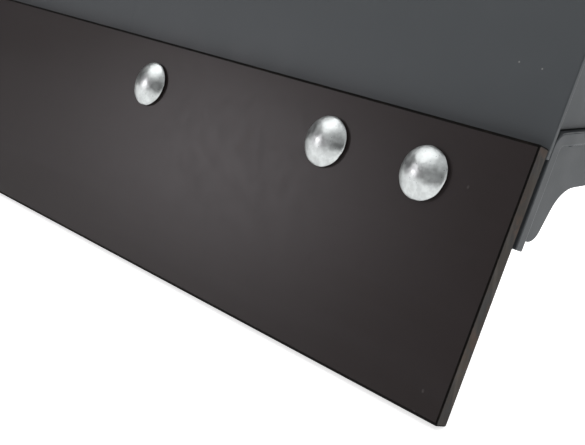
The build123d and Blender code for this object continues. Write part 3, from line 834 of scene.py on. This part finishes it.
def joined(start, start_way, end, end_way, steps=12):
    """Points of a smooth bend between two points, leaving and arriving along given ways."""
    made = []
    for i in range(1, steps):
        t = i / steps
        made.append(
            start * (2 * t ** 3 - 3 * t ** 2 + 1) + start_way * (t ** 3 - 2 * t ** 2 + t)
            + end * (3 * t ** 2 - 2 * t ** 3) + end_way * (t ** 3 - t ** 2)
        )
    return made


def make_spring(word, s):
    """A close-wound extension spring with a full loop at each end."""
    shift = ALONG * s * PIVOT_X
    across = pull.cross(ALONG)
    length = (coil_end - coil_start).length + WIRE
    origin = coil_start - pull * WIRE / 2 + shift
    turns = round(length / (WIRE * 1.06))
    per_turn = 28

    def on_coil(k):
        a = math.pi + math.tau * k / per_turn
        flat = ALONG * math.cos(a) + across * math.sin(a)
        return origin + flat * COIL_RADIUS + pull * length * k / (turns * per_turn)

    def on_loop(center, t, end):
        return center + shift + (across * math.sin(t) + pull * end * math.cos(t)) * LOOP_RADIUS

    coil = [on_coil(k) for k in range(turns * per_turn + 1)]
    steps = 36
    gap, near = 0.32, 0.62
    sweep = math.tau - gap - near
    top = [on_loop(top_loop, math.tau - gap - sweep * i / steps, 1) for i in range(steps + 1)]
    low = [on_loop(low_loop, -near - sweep * i / steps, -1) for i in range(steps + 1)]
    rush = 15 * MM
    leave_top, enter_coil = (top[-1] - top[-2]).normalized(), (coil[1] - coil[0]).normalized()
    leave_coil, enter_low = (coil[-1] - coil[-2]).normalized(), (low[1] - low[0]).normalized()
    first = joined(top[-1], leave_top * rush, coil[0], enter_coil * rush)
    last = joined(coil[-1], leave_coil * rush, low[0], enter_low * rush)
    form = Form()
    form.tube(top + first + coil + last + low, WIRE / 2, sides=12, rounded=True)
    name = f"trip_spring_coil_{word}"
    obj = piece(name, form, [SPRING], None, (f"trip_spring_{word}",))
    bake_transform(obj)


def make_eye_bolts():
    """The adjusting eye bolts that the springs' lower loops hang on, with their nuts."""
    shank = 66.35 * MM
    nut_up = 30 * MM + HEAVY_PLATE
    across = pull.cross(ALONG)
    bolts, nuts = Form(), Form()
    for word, s in SIDES:
        center = eye + ALONG * s * PIVOT_X
        ring = []
        for i in range(41):
            a = math.radians(20 + 320 * i / 40)
            ring.append(center + (ALONG * math.sin(a) + pull * math.cos(a)) * EYE_RADIUS)
        stem = [center + pull * d * MM for d in (13, 17, 22, 30, 37)]
        end_way = (ring[-1] - ring[-2]).normalized() * 9 * MM
        neck = joined(ring[-1], end_way, stem[0], pull * 9 * MM, 8)
        bolts.tube(ring + neck + stem, EYE_WIRE / 2, sides=20, rounded=True)
        where = placed(center, pull, across)
        bolts.thread(where, 34 * MM, shank, EYE_WIRE / 2, 1.25 * MM)
        nuts.nut(where @ Matrix.Translation((0, 0, nut_up)), 13 * MM, 6.8 * MM, EYE_WIRE / 2)
    piece("eye_bolt_pair", bolts, [ZINC], "trip_frame", ("eye_bolts",), sharp=50)
    piece("eye_bolt_nut_pair", nuts, [ZINC], "trip_frame", ("eye_bolt_nuts",), sharp=28)


for word, s in SIDES:
    make_spring(word, s)
make_eye_bolts()


# ---- welds --------------------------------------------------------------------------------------------
def on_back(along, x):
    """A point on the moldboard's back face, a distance up it from the wear bar's top edge."""
    if along <= FLAT_HEIGHT:
        return side(-along, FLANGE_FRONT, x)
    radius = CURVE_RADIUS + SHEET
    center = side(-FLAT_HEIGHT, BAR_THICKNESS - CURVE_RADIUS, x)
    a = (along - FLAT_HEIGHT) / radius - LEAN
    return center + Vector((0, math.cos(a), math.sin(a))) * radius


def ring_path(where, radius, first=0.0, turn=math.tau, steps=40):
    """A round path in the XY plane of a placed frame."""
    angles = [first + turn * i / steps for i in range(steps + 1)]
    return [where @ Vector((radius * math.cos(a), radius * math.sin(a), 0)) for a in angles]


HEAVY_BEAD, LIGHT_BEAD = 2.8 * MM, 2.4 * MM
STITCH_BEAD, END_BEAD = 1.9 * MM, 1.4 * MM     # on the moldboard, thinner than its sheet


def make_blade_welds():
    """Stitch welds that hold the ribs and the skid brackets to the blade."""
    form = Form()
    stitches = ((16, 46), (92, 122), (160, 190), (228, 258), (288, 314))
    middles = [HALF - RIB_INSET - PLATE / 2, MID_RIB_X]
    middles += [PIVOT_X + turn * (PAIR_GAP + PLATE) / 2 for turn in (-1, 1)]
    key = 0
    for s in (-1, 1):
        for middle in middles:
            for face in (-1, 1):
                x = s * middle + face * PLATE / 2
                outside = abs(x) > HALF - RIB_INSET - 0.1 * MM
                size = END_BEAD if outside else STITCH_BEAD
                for low, high in stitches:
                    key += 1
                    start, end = (low + (key % 3)) * MM, (high - (key * 7 % 4)) * MM
                    path = [on_back(start + (end - start) * i / 12, x) for i in range(13)]
                    form.weld(path, size, key)
                top = EDGE_Z + FLANGE_TOP - PLATE
                form.weld([behind(26 * MM, top, x), behind(52 * MM, top, x)], size, key)
        near_x = s * (MID_RIB_X + PLATE / 2)
        low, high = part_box(f"skid_gusset_{'right' if s > 0 else 'left'}")
        for z in (low.z, high.z):
            form.weld([behind(42 * MM, z, near_x), behind(86 * MM, z, near_x)], LIGHT_BEAD, key)
            where = placed(Vector((s * SKID_X, EDGE_Y + SKID_BACK, z)), UP, ALONG)
            form.weld(ring_path(where, 19.05 * MM, math.radians(150), math.radians(300)), 2.3 * MM, key)
    piece("blade_welds", form, [POWDER], "blade")


def make_frame_welds():
    """Welds of the trip frame: lugs, pivot tubes, stop tabs, brackets, plates and the king-pin sleeve."""
    form = Form()
    lug, tube = 8 * MM, 14 * MM
    beam_low, beam_high = PIVOT_UP - BEAM / 2, PIVOT_UP + BEAM / 2
    beam_rear = BEAM_FRONT + BEAM
    tab_rear = 102.35 * MM
    key = 100
    for s in (-1, 1):
        for face in (-1, 1):
            key += 1
            x = s * PIVOT_X + face * lug / 2
            upright = [behind(BEAM_FRONT, z, x) for z in (beam_low + 6 * MM, beam_high - 3 * MM)]
            form.weld(upright, HEAVY_BEAD, key)
            level = [behind(BEAM_FRONT + y * MM, beam_high, x) for y in (3, 20)]
            form.weld(level, LIGHT_BEAD, key)
            form.weld([behind(tab_rear, 198 * MM, x), behind(tab_rear, 222 * MM, x)], LIGHT_BEAD, key)
            where = placed(behind(PIVOT_BACK, PIVOT_UP, x), ALONG, UP)
            form.weld(ring_path(where, tube), 2.2 * MM, key)
            cheek = s * PIVOT_X + face * 34 * MM
            if abs(cheek) < 238 * MM:
                reach = (BEAM_FRONT + 13 * MM, beam_rear - 4 * MM)
                form.weld([behind(y, beam_high, cheek) for y in reach], LIGHT_BEAD, key)
    for z, size in ((beam_high + HEAVY_PLATE, 2.8), (beam_low - HEAVY_PLATE, 2.8)):
        key += 1
        where = placed(behind(KING_BACK, z), UP, ALONG)
        form.weld(ring_path(where, KING_RADIUS), size * MM, key)
    for low, high in ((-92, -52), (-20, 20), (52, 92)):
        key += 1
        front = BEAM_FRONT + 6 * MM
        form.weld([behind(front, beam_high, low * MM), behind(front, beam_high, high * MM)], LIGHT_BEAD, key)
        below = BEAM_FRONT + 8 * MM
        form.weld([behind(below, beam_low, low * MM), behind(below, beam_low, high * MM)], LIGHT_BEAD, key)
    piece("frame_welds", form, [POWDER], "trip_frame")


make_blade_welds()
make_frame_welds()

# ---- camera ------------------------------------------------------------------------------------
SENSOR = 36.0
FOCAL_WIDTHS = 1.678            # focal length over the picture's width
camera_data = bpy.data.cameras.new("camera")
camera_data.sensor_width = SENSOR
camera_data.lens = SENSOR * FOCAL_WIDTHS
camera_data.clip_start = 0.01
camera = bpy.data.objects.new("camera", camera_data)
bpy.context.scene.collection.objects.link(camera)
bpy.context.scene.camera = camera
corner = side(0, 0, HALF)
forward = Vector((-0.6547, 0.7027, -0.2787)).normalized()
right = Vector((0.6984, 0.7033, 0.1327))
right = (right - forward * right.dot(forward)).normalized()
upward = right.cross(forward)
turn = Matrix((right, upward, -forward)).transposed()
camera.matrix_world = Matrix.Translation(corner + Vector((0.1643, -0.2915, 0.0556))) @ turn.to_4x4()

# ---- floor and light -----------------------------------------------------------------------------
FLOOR = 60.0
floor_mesh = bpy.data.meshes.new("floor")
floor_corners = [(x * FLOOR, y * FLOOR, 0) for x, y in ((-1, -1), (1, -1), (1, 1), (-1, 1))]
floor_mesh.from_pydata(floor_corners, [], [(0, 1, 2, 3)])
floor = bpy.data.objects.new("floor", floor_mesh)
bpy.context.scene.collection.objects.link(floor)
floor_look = Surface("floor_paper", (0.80, 0.80, 0.80), 0.9, specular=0.0)
floor_look.shader.inputs["Emission Color"].default_value = (1, 1, 1, 1)
floor_look.shader.inputs["Emission Strength"].default_value = 0.72
floor_mesh.materials.append(floor_look.material)


def area_light(name, place, aim, width, height, power, color=(1, 1, 1)):
    """A rectangular softbox at a place, aimed at a point."""
    data = bpy.data.lights.new(name, "AREA")
    data.shape = "RECTANGLE"
    data.size = width
    data.size_y = height
    data.energy = power
    data.color = color
    light = bpy.data.objects.new(name, data)
    bpy.context.scene.collection.objects.link(light)
    light.location = place
    light.rotation_mode = "QUATERNION"
    light.rotation_quaternion = (Vector(aim) - Vector(place)).to_track_quat("-Z", "Y")
    return light


area_light("sheen", (-1.40, -2.10, 0.62), (0.60, -0.10, 0.12), 0.62, 0.5, 8.2, (1.0, 0.95, 0.985))
area_light("high", (-1.4, -1.3, 3.0), (0.5, 0, 0.1), 3.6, 2.6, 46)
area_light("right", (2.4, -0.9, 0.5), (0.65, -0.15, 0.1), 0.3, 1.0, 2)
area_light("rear", (0.1, 2.8, 2.0), (0, 0, 0.2), 2.4, 1.2, 66)

world = bpy.data.worlds.new("studio")
bpy.context.scene.world = world
world.use_nodes = True
nodes, links = world.node_tree.nodes, world.node_tree.links
where_from = nodes.new("ShaderNodeTexCoord")
split = nodes.new("ShaderNodeSeparateXYZ")
links.new(where_from.outputs["Generated"], split.inputs[0])
rise = nodes.new("ShaderNodeMapRange")
rise.interpolation_type = "SMOOTHSTEP"
for socket, value in (("From Min", 0.30), ("From Max", 0.95), ("To Min", 0.05), ("To Max", 0.80)):
    rise.inputs[socket].default_value = value
links.new(split.outputs["Z"], rise.inputs["Value"])
path = nodes.new("ShaderNodeLightPath")
shown = nodes.new("ShaderNodeMath")
shown.operation = "MAXIMUM"
links.new(path.outputs["Is Camera Ray"], shown.inputs[0])
links.new(rise.outputs["Result"], shown.inputs[1])
nodes["Background"].inputs["Color"].default_value = (0.98, 0.99, 1.0, 1)
links.new(shown.outputs["Value"], nodes["Background"].inputs["Strength"])
bpy.context.scene.view_settings.view_transform = "Standard"
